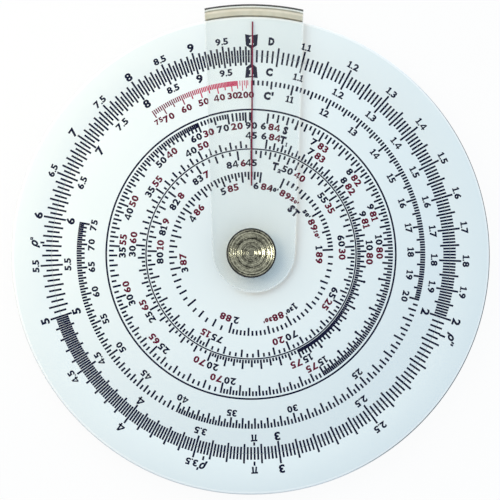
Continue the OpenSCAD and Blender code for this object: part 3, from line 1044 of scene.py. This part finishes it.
bm = bmesh.new()
outer_first, outer_last = side_to_side(bm, ARM_TIP_R, BRIDGE_STEPS)
inner_first, inner_last = side_to_side(bm, BRIDGE_R, BRIDGE_STEPS)
bm.edges.new((outer_first, inner_first))
bm.edges.new((outer_last, inner_last))
bmesh.ops.holes_fill(bm, edges=bm.edges)
bmesh.ops.recalc_face_normals(bm, faces=bm.faces)
raise_faces(bm, bm.faces[:], (BRIDGE_HIGH - BRIDGE_LOW) * MM)
bmesh.ops.translate(bm, verts=bm.verts, vec=(0, 0, BRIDGE_LOW * MM))
ease_edges(bm, BRIDGE_EASE, 3, 50)
bridge = finished_piece("cursor_bridge_bar", bm, [beige_bar], 35)
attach(bridge, "cursor")
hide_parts("cursor_bridge")

# Spring washer: thin bright steel, dished by a press, that keeps the stack under light pressure
# between the knob and the plain washer.
SPRING_R = 4.8
SPRING_Z = 6.8
SPRING_T = 0.2
SPRING_DISH = 0.25
SPRING_EASE = 0.04

spring_steel, tree, shader = new_material("spring_steel")
steel_rings = ringed(tree, 0.0003, 0.8)
steel_stain = grained(tree, 500.0, 2.0)
set_inputs(shader, {
    "Base Color": two_tones(steel_stain["Mask"], (0.5, 0.51, 0.53), (0.68, 0.69, 0.71)),
    "Metallic": 1.0,
    "Roughness": slide(steel_rings["Mask"], result=(0.24, 0.4))})

bm = turned_solid(
    [(WASHER_BORE_R, SPRING_Z), (SPRING_R, SPRING_Z + SPRING_DISH),
     (SPRING_R, SPRING_Z + SPRING_DISH + SPRING_T), (WASHER_BORE_R, SPRING_Z + SPRING_T)])
ease_edges(bm, SPRING_EASE, 2, 60)
spring = finished_piece("spring_washer_dished", bm, [spring_steel], 40)
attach(spring, "base")
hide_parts("spring_washer")

# Knob: turned from the same plated brass, with a stud that screws into the barrel. The tool has cut
# rings all over its face, which slope inwards, and the top edge is chamfered and coloured near-black.
KNOB_R = 5.65
KNOB_H = 1.9
KNOB_CHAMFER = 0.4
KNOB_FOOT_EASE = 0.1
STUD_R = 1.5
STUD_LOW = 1.5
TOOL_START_R = 5.2
TOOL_PITCH = 0.42
TOOL_SWAY = 0.1
TOOL_SWAY_STEP = 2.4
TOOL_SLOPE = 0.55
TOOL_CUT = 0.6
SIDE_START = 0.3
SIDE_PITCH = 0.3
SIDE_DEPTH = 0.02
SIDE_HALF_W = 0.06
DARK_CHAMFER_SPAN = ((KNOB_R - KNOB_CHAMFER) * MM, (KNOB_R - 0.6 * KNOB_CHAMFER) * MM)

knob_plate, tree, shader = new_material("knob_plate")
knob_stain = grained(tree, 2300.0, 2.6)
knob_pits = grained(tree, 3400.0, 1.0)
knob_rows = ringed(tree, 0.0006, 0.5)
knob_tone = reckon("MULTIPLY_ADD", knob_rows["Mask"], 1.5, -0.98)
knob_shade = reckon("MULTIPLY_ADD", knob_stain["Mask"], 0.7, knob_tone, clamp=True)
knob_worn = two_tones(knob_shade, (0.015, 0.016, 0.011), (0.5, 0.505, 0.395))
# The top chamfer is coloured near-black
knob_edge = slide(axis_distance(tree), DARK_CHAMFER_SPAN, smooth=True)
set_inputs(shader, {
    "Base Color": two_tones(knob_edge, knob_worn, (0.025, 0.025, 0.028)),
    "Metallic": 1.0,
    "Roughness": slide(knob_stain["Mask"], result=(0.3, 0.2)),
    "Normal": bumps(knob_pits["Height"], 0.9, 0.00005)})

knob_top = KNOB_Z + KNOB_H
knob_section = [
    (0, STUD_LOW), (STUD_R, STUD_LOW), (STUD_R, KNOB_Z), (KNOB_R - KNOB_FOOT_EASE, KNOB_Z),
    (KNOB_R, KNOB_Z + KNOB_FOOT_EASE)]
side_z = KNOB_Z + SIDE_START
while side_z < knob_top - KNOB_CHAMFER - KNOB_FOOT_EASE:
    knob_section += [
        (KNOB_R, side_z - SIDE_HALF_W), (KNOB_R - SIDE_DEPTH, side_z), (KNOB_R, side_z + SIDE_HALF_W)]
    side_z += SIDE_PITCH
knob_section += [(KNOB_R, knob_top - KNOB_CHAMFER), (KNOB_R - KNOB_CHAMFER, knob_top)]
tool_r = TOOL_START_R
tool_turn = 0
while tool_r > 2 * TOOL_PITCH:
    pitch = TOOL_PITCH + TOOL_SWAY * math.sin(TOOL_SWAY_STEP * tool_turn)
    cut_w = TOOL_CUT * pitch
    knob_section += [(tool_r, knob_top), (tool_r - cut_w, knob_top - TOOL_SLOPE * cut_w)]
    tool_r -= pitch
    tool_turn += 1
dimple_z = knob_top - 0.25 * TOOL_SLOPE * tool_r
knob_section += [(tool_r, knob_top), (0.5 * tool_r, dimple_z), (0, dimple_z)]
knob = finished_piece("knob_turned", turned_solid(knob_section), [knob_plate], 20)
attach(knob, "base")
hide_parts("knob")

# Table: a plain white board that the rule lies on. It shows white to the camera, and keeps a soft
# shadow under the rim.
TABLE_SIZE = 3.0
TABLE_WHITE = 0.93


def seen_itself(tree):
    """1 where a thing is seen, straight or by gloss or glass, and 0 where it only gives light."""
    path = put_node(tree, "LightPath")
    direct = reckon("MAXIMUM", path["Is Camera Ray"], path["Is Glossy Ray"])
    seen = reckon("MAXIMUM", direct, path["Is Transmission Ray"])
    before_light = reckon("LESS_THAN", path["Diffuse Depth"], 0.5)
    return reckon("MULTIPLY", seen, before_light)


table_white, tree, shader = new_material("table_white")
tree.nodes.remove(shader)
paper_grain = grained(tree, 40.0, 1.0)
paper_tone = two_tones(paper_grain["Mask"], (0.86, 0.86, 0.86), (0.9, 0.9, 0.9))
paper = put_node(tree, "BsdfDiffuse", {"Color": paper_tone})
glow = put_node(tree, "Emission", {"Color": (1, 1, 1, 1), "Strength": 1.0})
glow_share = reckon("MULTIPLY", seen_itself(tree), TABLE_WHITE)
show(tree.nodes["Material Output"], glow_share, paper, glow)

bm = bmesh.new()
bmesh.ops.create_grid(bm, x_segments=1, y_segments=1, size=TABLE_SIZE / 2)
table = finished_piece("table_board", bm, [table_white], 30)

# Light: a soft lamp from the upper left, a small one from the left that only draws the gloss of the
# turned rings, and a pale blue room that fills the shadows. The room shows white at the horizon and
# greyer overhead.
LAMP_POWER = 0.15
LAMP_SIZE = 0.16
LAMP_PLACE = Vector((-0.11, 0.068, 0.122))
LAMP_COLOUR = (1.0, 0.78, 0.46)
GLINT_POWER = 0.2
GLINT_SIZE = 0.05
GLINT_PLACE = Vector((-0.17, 0.009, 0.107))
GLINT_COLOUR = (1.0, 0.95, 0.8)
ROOM_FILL = (0.652, 0.785, 0.887)
ROOM_LEAN = (0.1, 0.45, 0.0)
ROOM_RISE = (0.35, 0.95)
ROOM_OVERHEAD = 0.38


def square_lamp(name, power, size, place, colour):
    """A square lamp that points at the pivot."""
    data = bpy.data.lights.new(name, "AREA")
    data.energy = power
    data.size = size
    data.color = colour
    lamp = new_object(name, data)
    lamp.location = place
    lamp.rotation_euler = (-place).to_track_quat("-Z", "Y").to_euler()
    return lamp


window_lamp = square_lamp("window_lamp", LAMP_POWER, LAMP_SIZE, LAMP_PLACE, LAMP_COLOUR)
window_lamp.visible_glossy = False
glint_lamp = square_lamp("glint_lamp", GLINT_POWER, GLINT_SIZE, GLINT_PLACE, GLINT_COLOUR)
glint_lamp.visible_diffuse = False

world = bpy.data.worlds.new("room")
world.use_nodes = True
bpy.context.scene.world = world
tree = world.node_tree
tree.nodes.clear()
room_way = put_node(tree, "TexCoord")["Generated"]
room_level = reckon("ADD", along(room_way, ROOM_LEAN), 1.0)
room_fill = put_node(tree, "Background", {"Color": (*ROOM_FILL, 1), "Strength": room_level})
room_up = along(room_way, (0.0, 0.0, 1.0))
room_shade = slide(room_up, ROOM_RISE, (1.0, ROOM_OVERHEAD), smooth=True)
room_seen = put_node(tree, "Background", {"Color": (1, 1, 1, 1), "Strength": room_shade})
room_output = tree.nodes.new("ShaderNodeOutputWorld")
show(room_output, seen_itself(tree), room_fill, room_seen)

# Camera: above the face and a few degrees towards its lower edge, as in the photograph, looking at a
# point close to the pivot.
VIEW_WIDTH = 114.65
CAMERA_DISTANCE = 350.0
CAMERA_AIM = Vector((-0.256, 0.841, FACE_Z))
CAMERA_TILT = (2.88, -0.55, 0.1)
SENSOR = 36.0

camera_data = bpy.data.cameras.new("camera")
camera_data.sensor_width = SENSOR
camera_data.lens = SENSOR * CAMERA_DISTANCE / VIEW_WIDTH
camera_data.clip_start = 0.01
camera_data.clip_end = 20.0
camera = new_object("camera", camera_data)
camera.rotation_euler = [math.radians(angle) for angle in CAMERA_TILT]
camera_back = camera.rotation_euler.to_matrix() @ Vector((0, 0, CAMERA_DISTANCE))
camera.location = (CAMERA_AIM + camera_back) * MM
bpy.context.scene.camera = camera
bpy.context.scene.view_settings.view_transform = "Standard"
